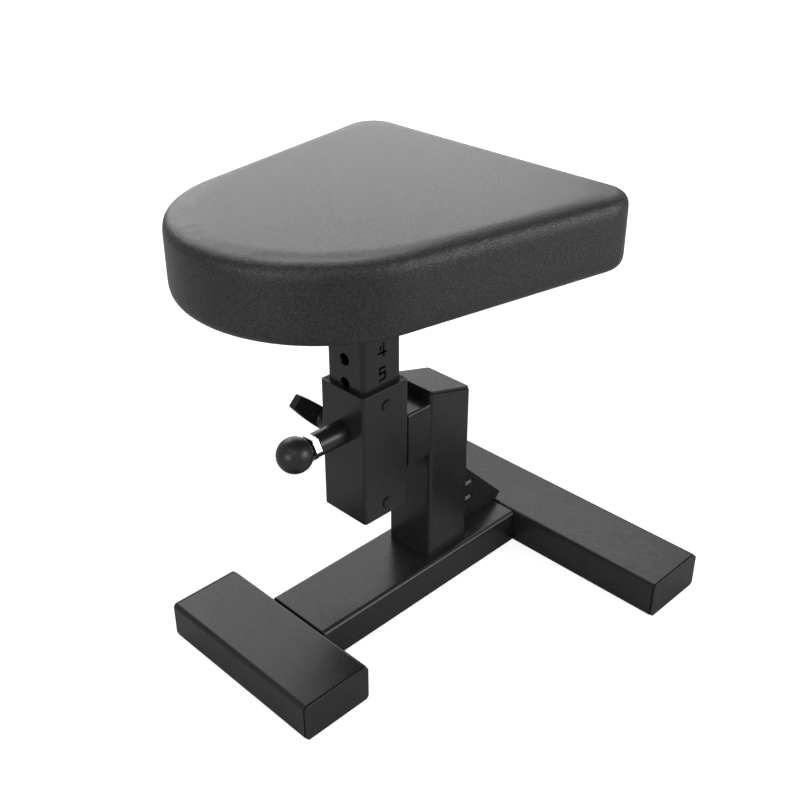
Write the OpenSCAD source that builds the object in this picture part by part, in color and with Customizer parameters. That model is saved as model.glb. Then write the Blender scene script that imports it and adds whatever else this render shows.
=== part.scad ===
// Adjustable squat box: a padded seat on a numbered post that slides in a sleeve on a T-shaped base.
// The frame's origin is on the floor below the axis of the post. +X is the right side, -Y is the front
// with the round nose of the seat and the pull pin, +Z is up. The seat stands at the rest setting.

/* [Base] */
// Length of the base from the front face to the back face
base_l = 450; // [400:1:560]
// Distance from the front face of the base to the axis of the post
axis_back = 176.7; // [150:0.1:190]
// Length of the front cross tube, with its caps
front_bar_l = 206; // [160:1:400]
// Length of the rear cross tube, with its caps
rear_bar_l = 460; // [300:1:600]
// Width of the cross tubes, front to back
bar_w = 80; // [70:1:100]
// Width of the main tube, side to side
main_w = 80; // [70:1:110]
// Height of all three base tubes
bar_h = 41.5; // [30:0.5:44]
// Wall of the base tubes
bar_wall = 2.5; // [1.5:0.1:4]
// Outer corner radius of the base tubes
bar_r = 5; // [3:0.5:8]

/* [Plastic caps] */
// Thickness of a cap's outer flange
cap_t = 3; // [2:0.5:5]
// Depth of a cap's plug inside its tube
plug_l = 14; // [8:1:25]
// Wall of a cap's plug
plug_wall = 2; // [1.5:0.1:3]
// Clearance between a plug and the inside of its tube
plug_clear = 0.1; // [0.05:0.05:0.4]
// Width of the upright's wall that its cap rests on
cap_seat = 1.5; // [0.5:0.1:2]
// Step from a cross tube's outside in to its cap's flange
flange_step = 0.6; // [0:0.1:1]
// Width of the seam between a cross tube and its cap's flange
seam_w = 0.8; // [0.4:0.1:1.5]
// Depth of that seam
seam_depth = 1.8; // [1:0.1:2.2]

/* [Upright] */
// Width of the upright, side to side
upright_w = 60; // [50:1:76]
// Depth of the upright, front to back
upright_d = 59; // [40:1:70]
// Height of the upright's front face above the base tubes
upright_h = 202.4; // [196:0.1:230]
// Slope of the upright's top, down toward the back
top_tilt = 15.25; // [0:0.25:25]
// Wall of the upright
upright_wall = 2.5; // [1.5:0.1:4]
// Outer corner radius of the upright
upright_r = 4; // [3:0.5:8]

/* [Spacer and gusset] */
// Length of the spacer, from the sleeve to the upright
spacer_l = 31.6; // [15:0.1:60]
// Width of the spacer, side to side
spacer_w = 60; // [30:1:64]
// Height of the spacer
spacer_h = 60; // [40:1:90]
// Height of the spacer's middle below the sleeve's middle
spacer_drop = 0; // [-5:0.5:20]
// Wall of the spacer
spacer_wall = 2.5; // [1.5:0.1:4]
// Outer corner radius of the spacer
spacer_r = 3; // [3:0.5:8]
// Thickness of the gusset plate
gusset_t = 4; // [3:0.5:10]
// Distance of the gusset's middle to the right of the centre line
gusset_side = 5.5; // [0:0.5:20]
// Height of the gusset on the upright
gusset_h = 91.5; // [60:0.5:140]
// Reach of the gusset behind the upright
gusset_l = 84.5; // [50:0.5:100]
// Height of the gusset's square-cut end
gusset_tip = 7; // [3:0.5:20]
// Height of the gusset's two slots
slot_h = 5; // [2:0.5:8]
// Length of the gusset's two slots
slot_l = 22; // [8:1:23]
// Height of the lower slot's middle above the base tubes
slot_low = 26; // [18:0.5:36]
// Distance between the middles of the two slots
slot_gap = 20; // [10:1:26]
// Distance from the upright to the lower slot
slot_in = 14.5; // [6:0.5:16]
// Shift of the upper slot behind the lower one
slot_shift = 0.5; // [0:0.5:4]

/* [Sleeve] */
// Outer width of the square sleeve
sleeve_w = 60; // [57:1:66]
// Wall of the sleeve
sleeve_wall = 3; // [2:0.5:3]
// Outer corner radius of the sleeve
sleeve_r = 3.5; // [3:0.5:6]
// Length of the sleeve
sleeve_l = 143.3; // [130:0.1:150]
// Height of the sleeve's lower end above the floor
sleeve_z = 132.2; // [120:0.1:140]
// Recess of the guides inside both ends of the sleeve
guide_recess = 0.3; // [0:0.1:4]
// Length of the upper guide
guide_top_l = 61; // [50:1:62]
// Length of the lower guide
guide_low_l = 46; // [20:1:50]
// Gap on each side between the guides and the post
guide_clear = 0.15; // [0.1:0.05:0.4]
// Gap on each side between the guides and the sleeve
guide_fit = 0.05; // [0.05:0.05:0.2]
// Diameter of the guides' pegs
peg_d = 11; // [8:0.5:16]
// Height by which a peg stands proud of the sleeve
peg_proud = 1.5; // [0:0.1:3]
// Distance of the upper peg below the sleeve's top
peg_top = 18; // [10:0.5:24]
// Distance of the lower peg above the sleeve's bottom
peg_low = 14; // [9:0.5:24]
// Gap round a peg in its hole
peg_clear = 0.1; // [0.05:0.05:0.3]

/* [Post] */
// Outer width of the square post
post_w = 50; // [46:0.5:50]
// Wall of the post
post_wall = 2.5; // [2:0.1:4]
// Outer corner radius of the post
post_r = 5; // [3:0.5:6]
// Length of the post below the seat plate
post_l = 238; // [228:1:240]
// Number of height settings
settings = 7; // [5:1:7]
// Setting at which the seat stands
rest_setting = 5; // [3:1:5]
// Distance between two settings
hole_pitch = 25.4; // [20:0.1:25.4]
// Diameter of the setting holes
hole_d = 12.7; // [12.5:0.1:16]
// First setting whose number is cut in the post
digit_first = 2; // [2:1:4]
// Height of a number
digit_h = 15; // [8:0.5:18]
// Width of a number
digit_w = 9; // [5:0.5:14]
// Width of a number's strokes
digit_stroke = 2.5; // [1:0.1:2.8]
// Height of a number's middle above the sleeve at its own setting
digit_rise = 14.4; // [8:0.1:18]

/* [Pull pin] */
// Height of the pin above the sleeve's lower end
pin_up = 96.6; // [85:0.1:100]
// Diameter of the pin's nose
pin_d = 12; // [8:0.5:12]
// Chamfer of the pin's nose
pin_chamfer = 1.5; // [0.5:0.5:3]
// Depth of the pin's nose behind the outer face of the post
pin_bite = 7; // [4:0.5:10]
// Pull of the knob that frees the post
pin_pull = 10; // [8:0.5:12]
// Diameter of the rod behind the nose
rod_d = 8; // [6:0.5:9]
// Running clearance round nose and rod
pin_clear = 0.05; // [0.02:0.01:0.1]
// Outer diameter of the welded boss
boss_d = 24; // [21:0.5:30]
// Length of the welded boss
boss_l = 36.5; // [32:0.5:50]
// Outer diameter of the plunger body
barrel_d = 18; // [17:0.5:20]
// Bore of the plunger body
barrel_bore = 14.4; // [13:0.2:15.4]
// Thickness of the closed end of the plunger body, inside the hexagon
barrel_end = 3; // [2:0.5:6]
// Width of the plunger body's hexagon across its flats
hex_af = 22.5; // [19:0.5:28]
// Thickness of the hexagon
hex_t = 7; // [5:0.5:12]
// Diameter of the collar that the spring pushes
collar_d = 13.8; // [12.4:0.1:14]
// Thickness of the collar
collar_t = 2; // [1:0.5:4]
// Diameter of the spring's wire
spring_wire = 1.2; // [0.8:0.1:1.3]
// Turns of the spring
spring_turns = 7; // [4:1:8]
// Gap at each end of the spring
spring_gap = 0.3; // [0.2:0.1:0.6]
// Diameter of the ball knob
ball_d = 35.6; // [28:0.1:45]
// Diameter of the ball's flat
ball_flat = 16; // [12:1:20]
// Depth of the rod in the ball
ball_bore = 20; // [10:1:24]
// Gap between the ball's flat and the hexagon at rest
ball_gap = 0.5; // [0.3:0.1:3]

/* [Winged knob] */
// Height of the clamp screw above the sleeve's lower end
clamp_up = 71.3; // [60:0.1:72]
// Diameter of the clamp screw
screw_d = 10; // [8:0.5:12]
// Running clearance round the screw
screw_clear = 0.05; // [0.02:0.01:0.1]
// Outer diameter of the welded clamp boss
nut_d = 20; // [16:0.5:26]
// Length of the welded clamp boss
nut_l = 14; // [8:0.5:20]
// Clearance round the screw in the sleeve's wall
screw_gap = 0.5; // [0.2:0.1:1]
// Diameter of the plastic tip's head
tip_d = 8; // [6:0.5:9]
// Length of the plastic tip's head
tip_l = 4; // [2:0.5:4]
// Diameter of the plastic tip's stem
stem_d = 4; // [3:0.5:5]
// Length of the plastic tip's stem
stem_l = 7; // [4:0.5:10]
// Gap between tip and post when the knob is tight
tip_gap = 0.1; // [0.05:0.05:0.3]
// Distance from the sleeve to the wings
wing_out = 32; // [28:0.5:50]
// Thickness of the wings
wing_t = 9; // [5:0.5:12]
// Length across both wings
wing_span = 93; // [60:1:120]
// Width of the wings at the hub
wing_mid_w = 21; // [14:0.1:30]
// Width of the wings at their ends
wing_end_w = 14.8; // [8:0.1:20]
// Turn of the wings from upright at rest
wing_turn = 45; // [0:5:90]
// Diameter of the knob's hub at the wings
hub_d = 19; // [16:0.5:26]
// Diameter of the knob's hub at its foot
hub_foot_d = 16; // [14:0.5:22]
// Length of the knob's hub
hub_l = 12.5; // [8:0.5:16]

/* [Seat] */
// Height of the pad's underside above the floor
seat_z = 390; // [388:1:400]
// Thickness of the pad at its crown
pad_t = 71; // [50:1:90]
// Rise of the crown above the pad's top edge
pad_crown = 2.5; // [0.5:0.5:8]
// Radius of the pad's round nose
nose_r = 134.5; // [110:0.5:160]
// Distance from the post's axis forward to the tip of the nose
pad_front_l = 180; // [160:1:200]
// Distance from the post's axis back to the pad's rear edge
pad_back_l = 180; // [140:1:220]
// Spread of each side toward the back
pad_flare = 10.4; // [0:0.2:16]
// Radius of the pad's rear corners
corner_r = 32; // [28:1:50]
// Rounding of the pad's top edge
top_round = 15; // [6:1:24]
// Rounding of the pad's bottom edge
bottom_round = 8; // [4:0.5:10]
// Draw-in of the pad's sides at top and bottom
side_draw = 1.2; // [0:0.2:4]
// Margin of the pad round the board
board_in = 12; // [11:1:20]
// Thickness of the plywood board
board_t = 15; // [12:1:22]
// Recess of the board inside the pad's underside
board_up = 1; // [0.5:0.5:3]
// Gap between board and foam
board_clear = 0.3; // [0.2:0.1:1]

/* [Seat plate and bolts] */
// Width of the seat plate, side to side
plate_w = 160; // [148:1:200]
// Length of the seat plate, front to back
plate_l = 120; // [110:1:160]
// Thickness of the seat plate
plate_t = 5; // [3:0.5:6]
// Corner radius of the seat plate
plate_r = 10; // [4:1:20]
// Distance between the bolts, side to side
bolt_x = 120; // [90:1:124]
// Distance between the bolts, front to back
bolt_y = 80; // [78:1:88]
// Diameter of the bolts
bolt_d = 8; // [6:1:8]
// Clearance round a bolt in plate and washer
bolt_clear = 0.5; // [0.2:0.1:1]
// Running clearance of a bolt's thread in its tee nut
thread_clear = 0.05; // [0.02:0.01:0.1]
// Width of a bolt's head across its flats
bolt_af = 13; // [10:0.5:14]
// Height of a bolt's head
bolt_head = 5.3; // [3:0.1:5.5]
// Diameter of a washer
washer_d = 16; // [15:0.5:20]
// Thickness of a washer
washer_t = 1.6; // [1:0.1:2]
// Diameter of a tee nut's barrel
tee_d = 10.4; // [10:0.1:12]
// Length of a tee nut's barrel
tee_l = 11; // [6:0.5:11]
// Diameter of a tee nut's flange
tee_flange_d = 22; // [16:1:26]
// Thickness of a tee nut's flange
tee_flange_t = 1.5; // [1:0.1:2]

/* [Hidden] */
$fn = 64;

// A length by which a cut passes beyond the face that it opens
over = 1;
// Gap beyond the end of a rod in its blind bore
bore_end = 0.3;
// Smallest inner radius of a tube
least_r = 1;

// Places along the base
front_y = -axis_back;
rear_y = base_l - axis_back;
main_front = front_y + bar_w;
main_back = rear_y - bar_w;

// Sleeve, guides and post
sleeve_top = sleeve_z + sleeve_l;
sleeve_mid = sleeve_z + sleeve_l / 2;
sleeve_in = sleeve_w - 2 * sleeve_wall;
sleeve_in_r = max(sleeve_r - sleeve_wall, least_r);
sleeve_face = sleeve_w / 2;
guide_w = sleeve_in - 2 * guide_fit;
guide_in = post_w + 2 * guide_clear;
guide_in_r = post_r + guide_clear;
peg_top_z = sleeve_top - peg_top;
peg_low_z = sleeve_z + peg_low;
pin_z = sleeve_z + pin_up;
clamp_z = sleeve_z + clamp_up;

// Upright
upright_front = sleeve_face + spacer_l;
upright_back = upright_front + upright_d;
upright_top = bar_h + upright_h;
spacer_z = sleeve_mid - spacer_drop;

// Pull pin, measured along Y
barrel_front = -sleeve_face - sleeve_wall;
boss_face = -sleeve_face - boss_l;
hex_face = boss_face - hex_t;
pin_nose_y = -post_w / 2 + pin_bite;
collar_y = barrel_front - pin_pull / 2;
spring_front = collar_y - collar_t;
spring_back = hex_face + barrel_end;
ball_flat_y = hex_face - ball_gap;
ball_to_flat = sqrt(pow(ball_d / 2, 2) - pow(ball_flat / 2, 2));
ball_y = ball_flat_y - ball_to_flat;
rod_end = ball_flat_y - ball_bore;

// Winged knob, measured along X
tip_x = -post_w / 2 - tip_gap;
screw_x = tip_x - tip_l;
wing_face = -sleeve_face - wing_out;
wing_bow = (wing_mid_w - wing_end_w) / 2;
wing_bow_r = (pow(wing_span / 2, 2) + pow(wing_bow, 2)) / (2 * wing_bow);

// Seat
board_z = seat_z + board_up;
plate_z = board_z - plate_t;
post_foot = plate_z - post_l;
nose_y = nose_r - pad_front_l;
corner_y = pad_back_l - corner_r;
corner_x = (nose_r - corner_r + (corner_y - nose_y) * sin(pad_flare)) / cos(pad_flare);

// Rounded rectangle, centred
module plate_2d(w, h, r) {
    square([w - 2 * r, h], center = true);
    square([w, h - 2 * r], center = true);
    for (sx = [-1, 1], sy = [-1, 1])
        translate([sx * (w / 2 - r), sy * (h / 2 - r)])
            circle(r);
}

// Outline of a tube's wall
module tube_2d(w, h, wall, r) {
    difference() {
        plate_2d(w, h, r);
        plate_2d(w - 2 * wall, h - 2 * wall, max(r - wall, least_r));
    }
}

// Turns an extrusion so that it runs along +X, with its drawing's x along Y and its y along Z
module along_x() {
    rotate([90, 0, 90])
        children();
}

// Turns an extrusion so that it runs along -Y, with its drawing's x along X and its y along Z
module along_front() {
    rotate([90, 0, 0])
        children();
}

// A cross tube between its two caps
module cross_tube(length, y) {
    translate([-length / 2 + cap_t, y, bar_h / 2])
        along_x()
            linear_extrude(length - 2 * cap_t)
                tube_2d(bar_w, bar_h, bar_wall, bar_r);
}

// A plate as large as a cross tube's end, less an inset on all sides
module bar_end_2d(inset) {
    plate_2d(bar_w - 2 * inset, bar_h - 2 * inset, max(bar_r - inset, least_r));
}

// The cap of a cross tube's end at +X: a flange on a narrower neck, which leaves a seam, and a hollow plug
module end_cap(length, y) {
    plug_w = bar_w - 2 * bar_wall - 2 * plug_clear;
    plug_h = bar_h - 2 * bar_wall - 2 * plug_clear;
    plug_r = max(bar_r - bar_wall - plug_clear, least_r);
    translate([length / 2 - cap_t, y, bar_h / 2]) {
        along_x()
            linear_extrude(seam_w)
                bar_end_2d(seam_depth);
        translate([seam_w, 0, 0])
            along_x()
                linear_extrude(cap_t - seam_w)
                    bar_end_2d(flange_step);
        translate([-plug_l, 0, 0])
            along_x()
                linear_extrude(plug_l)
                    tube_2d(plug_w, plug_h, plug_wall, plug_r);
    }
}

module front_cross_tube() {
    color("#232325")
        cross_tube(front_bar_l, front_y + bar_w / 2);
}

module rear_cross_tube() {
    color("#232325")
        cross_tube(rear_bar_l, rear_y - bar_w / 2);
}

module main_tube() {
    color("#232325")
        translate([0, main_back, bar_h / 2])
            along_front()
                linear_extrude(main_back - main_front)
                    tube_2d(main_w, bar_h, bar_wall, bar_r);
}

module front_cap_right() {
    color("#161617")
        end_cap(front_bar_l, front_y + bar_w / 2);
}

module front_cap_left() {
    color("#161617")
        mirror([1, 0, 0])
            end_cap(front_bar_l, front_y + bar_w / 2);
}

module rear_cap_right() {
    color("#161617")
        end_cap(rear_bar_l, rear_y - bar_w / 2);
}

module rear_cap_left() {
    color("#161617")
        mirror([1, 0, 0])
            end_cap(rear_bar_l, rear_y - bar_w / 2);
}

// A slab that leans with the upright's sloping top, from a height above the slope up to another
module top_slab(low, high) {
    reach = upright_d + upright_w;
    translate([0, upright_front, upright_top])
        rotate([-top_tilt, 0, 0])
            translate([-reach, -reach, low])
                cube([2 * reach, 3 * reach, high - low]);
}

module upright_tube() {
    color("#242426")
        difference() {
            translate([0, upright_front + upright_d / 2, bar_h])
                linear_extrude(upright_h + over)
                    tube_2d(upright_w, upright_d, upright_wall, upright_r);
            top_slab(0, upright_h);
        }
}

// The upright's cap: a flange on the sloping end and a hollow plug inside it
module upright_cap() {
    plug_w = upright_w - 2 * upright_wall - 2 * plug_clear;
    plug_d = upright_d - 2 * upright_wall - 2 * plug_clear;
    plug_r = max(upright_r - upright_wall - plug_clear, least_r);
    drop = upright_d * tan(top_tilt);
    step = upright_wall - cap_seat;
    color("#3a3a3c") {
        intersection() {
            translate([0, upright_front + upright_d / 2, bar_h])
                linear_extrude(upright_h + cap_t + drop)
                    plate_2d(upright_w - 2 * step, upright_d - 2 * step, max(upright_r - step, least_r));
            top_slab(0, cap_t);
        }
        intersection() {
            translate([0, upright_front + upright_d / 2, bar_h])
                linear_extrude(upright_h + cap_t)
                    tube_2d(plug_w, plug_d, plug_wall, plug_r);
            top_slab(-plug_l, 0);
        }
    }
}

module spacer_tube() {
    color("#262628")
        translate([0, upright_front, spacer_z])
            along_front()
                linear_extrude(spacer_l)
                    tube_2d(spacer_w, spacer_h, spacer_wall, spacer_r);
}

// The gusset's slots have round ends
module gusset_slot(y, z) {
    translate([y + slot_h / 2, z - slot_h / 2])
        square([slot_l - slot_h, slot_h]);
    for (end = [slot_h / 2, slot_l - slot_h / 2])
        translate([y + end, z])
            circle(slot_h / 2);
}

module gusset_plate() {
    end_back = gusset_tip * (gusset_h - gusset_tip) / gusset_l;
    color("#202022")
        translate([gusset_side - gusset_t / 2, upright_back, bar_h])
            along_x()
                linear_extrude(gusset_t)
                    difference() {
                        polygon([
                            [0, 0], [0, gusset_h], [gusset_l, gusset_tip], [gusset_l - end_back, 0]
                        ]);
                        gusset_slot(slot_in, slot_low);
                        gusset_slot(slot_in + slot_shift, slot_low + slot_gap);
                    }
}

// Holes through both side walls of the sleeve for the guides' pegs
module peg_holes(z) {
    translate([-sleeve_w, 0, z])
        rotate([0, 90, 0])
            cylinder(h = 2 * sleeve_w, d = peg_d + 2 * peg_clear);
}

module sleeve_tube() {
    color("#2a2a2c")
        difference() {
            translate([0, 0, sleeve_z])
                linear_extrude(sleeve_l)
                    difference() {
                        plate_2d(sleeve_w, sleeve_w, sleeve_r);
                        plate_2d(sleeve_in, sleeve_in, sleeve_in_r);
                    }
            peg_holes(peg_top_z);
            peg_holes(peg_low_z);
            translate([0, 0, pin_z])
                along_front()
                    cylinder(h = sleeve_w, d = pin_d + 2 * pin_clear);
            translate([-sleeve_w, 0, clamp_z])
                rotate([0, 90, 0])
                    cylinder(h = sleeve_w, d = screw_d + 2 * screw_gap);
        }
}

// A guide is a square plastic ring inside the sleeve, held by a peg on each side
module guide(z, length, peg_z) {
    peg_l = sleeve_face + peg_proud - guide_in / 2;
    translate([0, 0, z])
        linear_extrude(length)
            difference() {
                plate_2d(guide_w, guide_w, sleeve_in_r);
                plate_2d(guide_in, guide_in, guide_in_r);
            }
    for (side = [0, 180])
        rotate([0, 0, side])
            translate([guide_in / 2, 0, peg_z])
                rotate([0, 90, 0])
                    cylinder(h = peg_l, d = peg_d);
}

module upper_guide() {
    color("#1b1b1c")
        difference() {
            guide(sleeve_top - guide_recess - guide_top_l, guide_top_l, peg_top_z);
            translate([0, 0, pin_z])
                along_front()
                    cylinder(h = sleeve_w, d = hole_d);
        }
}

module lower_guide() {
    color("#1b1b1c")
        guide(sleeve_z + guide_recess, guide_low_l, peg_low_z);
}

module pin_boss() {
    color("#1d1d1e")
        translate([0, -sleeve_face, pin_z])
            along_front()
                difference() {
                    cylinder(h = boss_l, d = boss_d);
                    translate([0, 0, -over])
                        cylinder(h = boss_l + 2 * over, d = barrel_d + 2 * plug_clear);
                }
}

// The plunger body screws into the boss up to its hexagon
module plunger_body() {
    body_l = barrel_front - hex_face;
    color("#d8d9db")
        translate([0, barrel_front, pin_z])
            along_front()
                difference() {
                    union() {
                        cylinder(h = body_l - hex_t, d = barrel_d);
                        translate([0, 0, body_l - hex_t])
                            cylinder(h = hex_t, d = hex_af / cos(30), $fn = 6);
                    }
                    translate([0, 0, -over])
                        cylinder(h = body_l - barrel_end + over, d = barrel_bore);
                    cylinder(h = body_l + over, d = rod_d + 2 * pin_clear);
                }
}

// Points of the spring's wire: rings of 6 points along a helix from the collar to the closed end
spring_rings = 12;
spring_mean = (barrel_bore + rod_d) / 4;
spring_run = spring_front - spring_back - spring_wire - 2 * spring_gap;
spring_points = [
    for (i = [0 : spring_turns * spring_rings])
        let (
            turn = 360 * i / spring_rings,
            along = spring_run * i / (spring_turns * spring_rings)
        )
        for (k = [0 : 5])
            let (
                out = spring_mean + spring_wire / 2 * cos(60 * k),
                side = spring_wire / 2 * sin(60 * k)
            )
            [out * cos(turn), out * sin(turn), along + side]
];

// Faces of a tube of rings, closed at both ends
function ring_faces(rings, sides) = concat(
    [
        for (i = [0 : rings - 2], k = [0 : sides - 1])
            each [
                [i * sides + k, (i + 1) * sides + k, (i + 1) * sides + (k + 1) % sides],
                [i * sides + k, (i + 1) * sides + (k + 1) % sides, i * sides + (k + 1) % sides]
            ]
    ],
    [for (k = [1 : sides - 2]) [0, k, k + 1]],
    [for (k = [1 : sides - 2]) [(rings - 1) * sides, (rings - 1) * sides + k + 1, (rings - 1) * sides + k]]
);

module plunger_spring() {
    color("#9a9b9d")
        translate([0, spring_front - spring_wire / 2 - spring_gap, pin_z])
            along_front()
                polyhedron(spring_points, ring_faces(spring_turns * spring_rings + 1, 6));
}

module spring_collar() {
    color("#a9aaad")
        translate([0, collar_y, pin_z])
            along_front()
                difference() {
                    cylinder(h = collar_t, d = collar_d);
                    translate([0, 0, -over])
                        cylinder(h = collar_t + 2 * over, d = rod_d + 2 * pin_clear);
                }
}

// The pin has a chamfered nose, and a thinner rod from the collar to the ball
module plunger_pin() {
    nose_l = pin_nose_y - collar_y;
    color("#c9cacc")
        translate([0, pin_nose_y, pin_z])
            along_front() {
                cylinder(h = pin_chamfer, d1 = pin_d - 2 * pin_chamfer, d2 = pin_d);
                translate([0, 0, pin_chamfer])
                    cylinder(h = nose_l - pin_chamfer, d = pin_d);
                translate([0, 0, nose_l])
                    cylinder(h = pin_nose_y - rod_end - nose_l, d = rod_d);
            }
}

// The ball is turned from a half outline: its flat, an arc of short steps, and its far pole
ball_steps = 30;
ball_start = asin(ball_flat / ball_d);
ball_outline = concat(
    [
        for (i = [0 : ball_steps])
            let (a = ball_start + (180 - ball_start) * i / ball_steps)
            [ball_d / 2 * sin(a), ball_to_flat - ball_d / 2 * cos(a)]
    ],
    [[0, 0]]
);

module ball_knob() {
    color("#1a1a1b")
        translate([0, ball_flat_y, pin_z])
            along_front()
                difference() {
                    rotate_extrude()
                        polygon(ball_outline);
                    translate([0, 0, -over])
                        cylinder(h = ball_bore + bore_end + over, d = rod_d + 2 * pin_clear);
                }
}

module clamp_boss() {
    color("#1d1d1e")
        translate([-sleeve_face - nut_l, 0, clamp_z])
            rotate([0, 90, 0])
                difference() {
                    cylinder(h = nut_l, d = nut_d);
                    translate([0, 0, -over])
                        cylinder(h = nut_l + 2 * over, d = screw_d + 2 * screw_clear);
                }
}

// A plastic tip on a stem in the screw's end presses on the post and does not turn with the screw
module clamp_tip() {
    color("#e6e2d6")
        translate([tip_x, 0, clamp_z])
            rotate([0, -90, 0]) {
                cylinder(h = tip_l, d = tip_d);
                translate([0, 0, tip_l])
                    cylinder(h = stem_l, d = stem_d);
            }
}

module clamp_screw() {
    screw_l = screw_x - screw_clear - wing_face + wing_t / 2;
    color("#b9babc")
        translate([screw_x - screw_clear, 0, clamp_z])
            rotate([0, -90, 0])
                difference() {
                    cylinder(h = screw_l, d = screw_d);
                    translate([0, 0, -over])
                        cylinder(h = stem_l + over, d = stem_d + 2 * screw_clear);
                }
}

// Outline of the two wings: a long shape with bowed sides and square ends
module wing_2d() {
    intersection() {
        square([wing_span, 2 * wing_mid_w], center = true);
        translate([0, wing_bow_r - wing_mid_w / 2])
            circle(wing_bow_r, $fn = 128);
        translate([0, wing_mid_w / 2 - wing_bow_r])
            circle(wing_bow_r, $fn = 128);
    }
}

module wing_knob() {
    blind = wing_t / 2 + bore_end;
    color("#1b1b1c")
        translate([wing_face, 0, clamp_z])
            difference() {
                union() {
                    rotate([wing_turn, 0, 0])
                        translate([-wing_t, 0, 0])
                            along_x()
                                linear_extrude(wing_t)
                                    rotate(90)
                                        wing_2d();
                    rotate([0, 90, 0])
                        cylinder(h = hub_l, d1 = hub_d, d2 = hub_foot_d);
                }
                translate([-blind, 0, 0])
                    rotate([0, 90, 0])
                        cylinder(h = blind + hub_l + over, d = screw_d + 2 * screw_clear);
            }
}

// Strokes of the numbers on a grid 2 wide and 4 high, each with a bridge where its middle would drop out
digit_strokes = [
    [],
    [[[1, 0], [1, 4]]],
    [[[0, 4], [2, 4]], [[2, 4], [2, 2.1]], [[2, 2.1], [0, 1.7]], [[0, 1.7], [0, 0]], [[0, 0], [2, 0]]],
    [[[0, 4], [2, 4]], [[2, 4], [2, 0]], [[2, 0], [0, 0]], [[0.7, 2], [2, 2]]],
    [[[1.5, 0], [1.5, 4]], [[-0.35, 1], [2.35, 1]], [[0.15, 2.25], [0.35, 3.1]]],
    [[[1.9, 4], [0, 4]], [[0, 4], [0, 2.1]], [[0, 2.1], [2, 2.4]], [[2, 2.4], [2, 0.3]], [[2, 0.3], [0, 0]]],
    [[[1.9, 4], [0, 3.6]], [[0, 3.6], [0, 0]], [[0, 0], [2, 0]], [[2, 0], [2, 2]], [[2, 2], [1.1, 2]]],
    [[[0, 4], [2, 4]], [[2, 4], [0.8, 0]]]
];

// One stroke between two grid points, lengthened by half its width at both ends
module stroke(from, to) {
    across = (digit_w - digit_stroke) / 2;
    up = (digit_h - digit_stroke) / 4;
    start = [(from[0] - 1) * across, (from[1] - 2) * up];
    end = [(to[0] - 1) * across, (to[1] - 2) * up];
    run = norm(end - start);
    translate(start)
        rotate(atan2(end[1] - start[1], end[0] - start[0]))
            translate([-digit_stroke / 2, -digit_stroke / 2])
                square([run + digit_stroke, digit_stroke]);
}

module digit(n) {
    for (s = digit_strokes[n])
        stroke(s[0], s[1]);
}

module seat_post() {
    color("#2b2b2d")
        difference() {
            translate([0, 0, post_foot])
                linear_extrude(post_l)
                    tube_2d(post_w, post_w, post_wall, post_r);
            for (n = [1 : settings])
                translate([0, 0, pin_z + (rest_setting - n) * hole_pitch])
                    along_front()
                        cylinder(h = post_w, d = hole_d);
            for (n = [digit_first : settings])
                translate([0, 0, sleeve_top + digit_rise + (rest_setting - n) * hole_pitch])
                    along_x()
                        linear_extrude(post_w)
                            digit(n);
        }
}

module post_plug() {
    plug_w = post_w - 2 * post_wall - 2 * plug_clear;
    plug_r = max(post_r - post_wall - plug_clear, least_r);
    color("#161617")
        translate([0, 0, post_foot]) {
            translate([0, 0, -cap_t])
                linear_extrude(cap_t)
                    plate_2d(post_w, post_w, post_r);
            linear_extrude(plug_l)
                tube_2d(plug_w, plug_w, plug_wall, plug_r);
        }
}

// Puts its children at the four bolts
module at_bolts() {
    for (sx = [-1, 1], sy = [-1, 1])
        translate([sx * bolt_x / 2, sy * bolt_y / 2, 0])
            children();
}

module seat_plate() {
    color("#232325")
        translate([0, 0, plate_z])
            difference() {
                linear_extrude(plate_t)
                    plate_2d(plate_w, plate_l, plate_r);
                at_bolts()
                    translate([0, 0, -over])
                        cylinder(h = plate_t + 2 * over, d = bolt_d + 2 * bolt_clear);
            }
}

module seat_washers() {
    color("#b9babc")
        at_bolts()
            translate([0, 0, plate_z - washer_t])
                difference() {
                    cylinder(h = washer_t, d = washer_d);
                    translate([0, 0, -over])
                        cylinder(h = washer_t + 2 * over, d = bolt_d + 2 * bolt_clear);
                }
}

module seat_bolts() {
    head_z = plate_z - washer_t;
    color("#b9babc")
        at_bolts() {
            translate([0, 0, head_z - bolt_head])
                cylinder(h = bolt_head, d = bolt_af / cos(30), $fn = 6);
            translate([0, 0, head_z])
                cylinder(h = washer_t + plate_t + tee_l, d = bolt_d);
        }
}

// A tee nut has its flange let into the board's top and its barrel below it
module tee_nuts() {
    top = board_z + board_t;
    color("#c0a860")
        at_bolts()
            difference() {
                union() {
                    translate([0, 0, top - tee_flange_t])
                        cylinder(h = tee_flange_t, d = tee_flange_d);
                    translate([0, 0, top - tee_flange_t - tee_l])
                        cylinder(h = tee_l, d = tee_d);
                }
                translate([0, 0, board_z - over])
                    cylinder(h = board_t + 2 * over, d = bolt_d + 2 * thread_clear);
            }
}

// Outline of the seat in plan as points, drawn in by a distance from its edge
nose_steps = 10;
side_steps = 6;
corner_steps = 6;
back_steps = 8;

function on_arc(centre, radius, angle) = centre + radius * [cos(angle), sin(angle)];

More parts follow.
